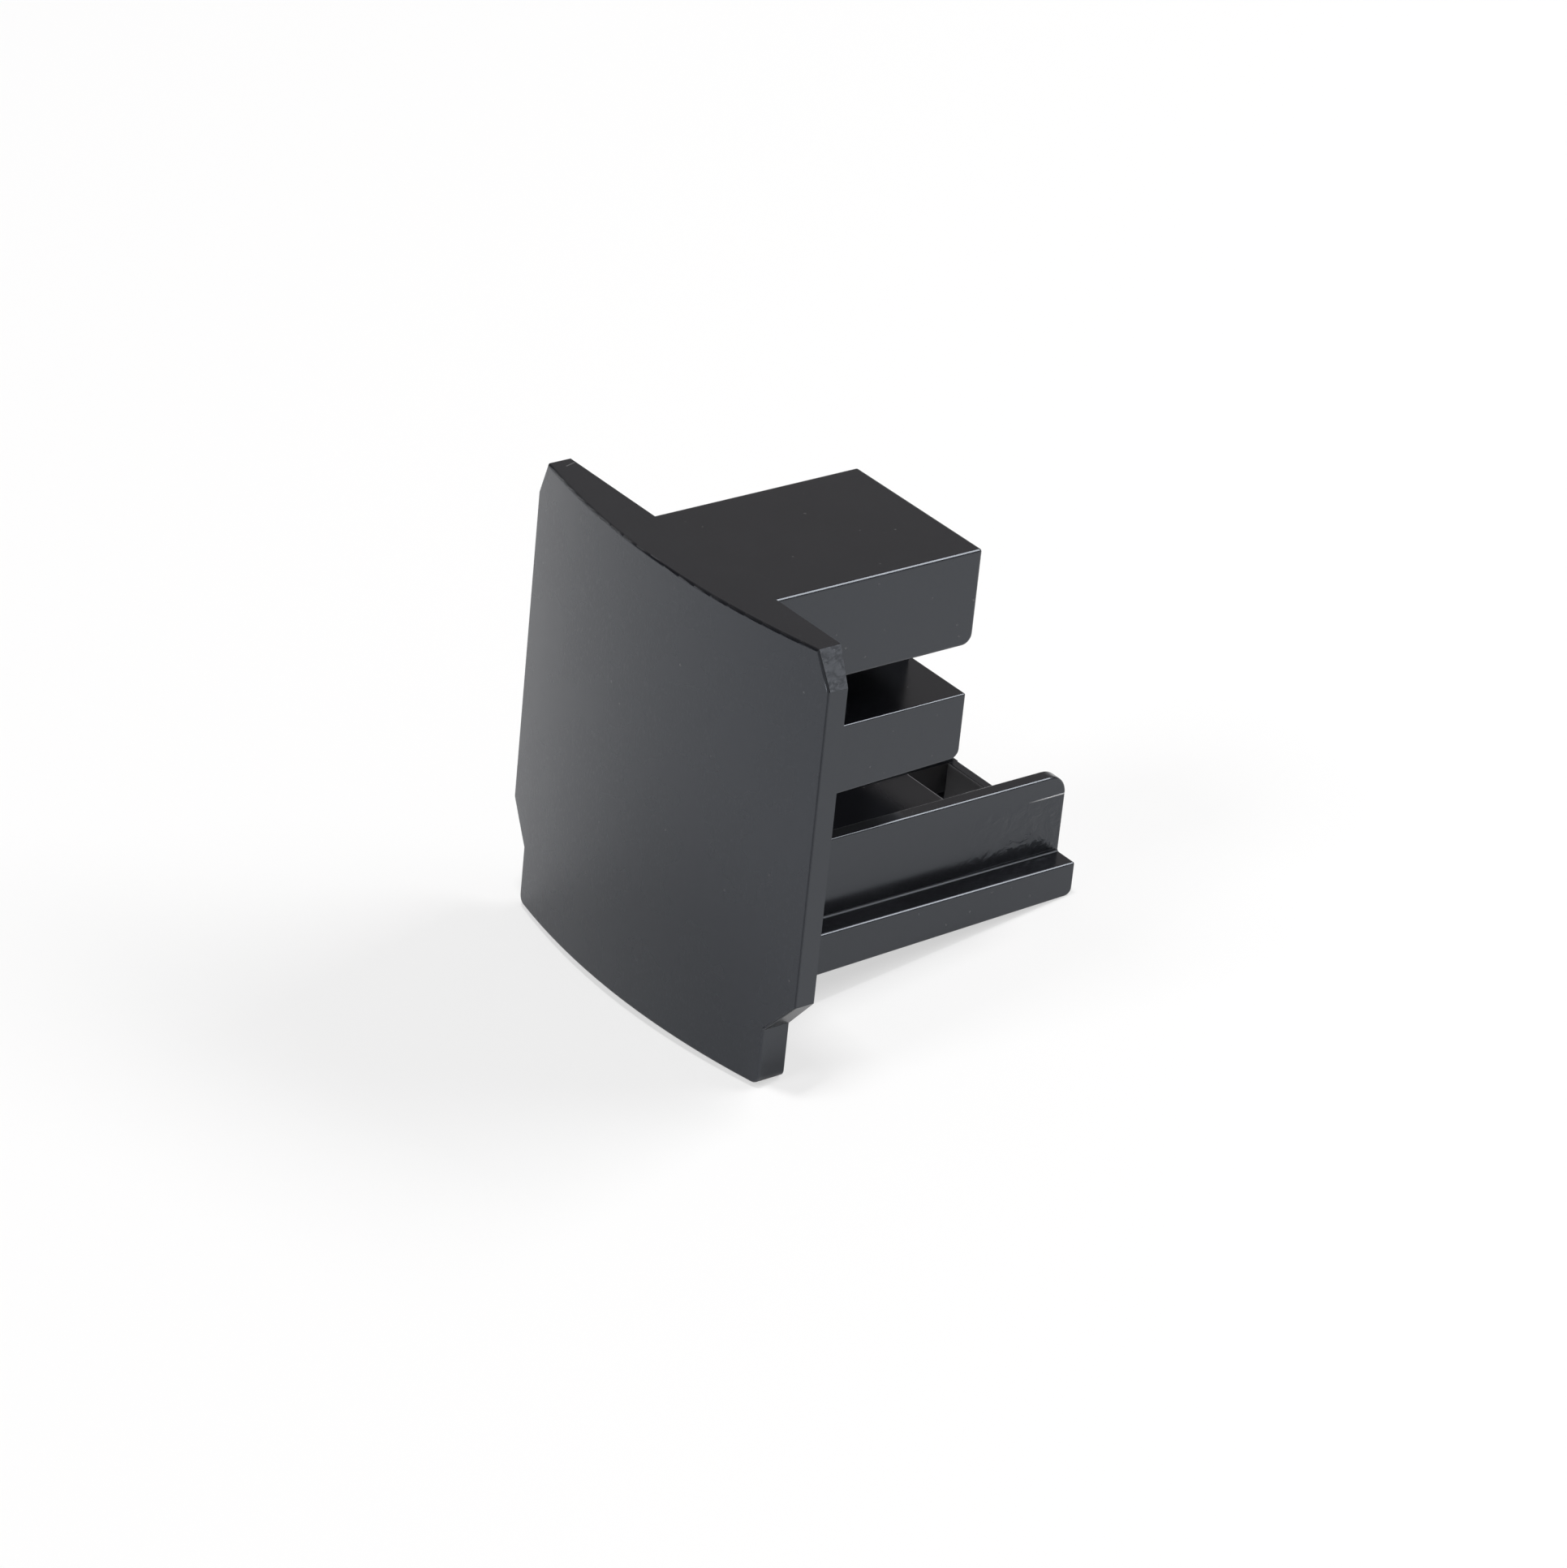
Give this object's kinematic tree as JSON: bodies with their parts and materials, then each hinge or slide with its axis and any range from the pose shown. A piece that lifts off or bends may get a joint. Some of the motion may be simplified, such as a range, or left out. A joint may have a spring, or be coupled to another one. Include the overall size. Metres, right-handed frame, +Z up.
{
  "type": "profile end cap",
  "caption": "Black moulded end cap for a lighting track profile: a bowed cover plate carrying cored blocks and a channel with foot rails that slide into the profile.",
  "frame": {"origin": "on the plate's flat back face, on the centre line of its lower edge", "axes": "+Y points from the plate into the profile, +Z is up along the plate, +X is the width"},
  "size_m": [0.036, 0.0359, 0.0364],
  "materials": {
    "moulding": "fine matte grain on the front, smoother on the sides and behind"
  },
  "bodies": {
    "root": {"end_cap": "moulding"}
  },
  "joints": []
}
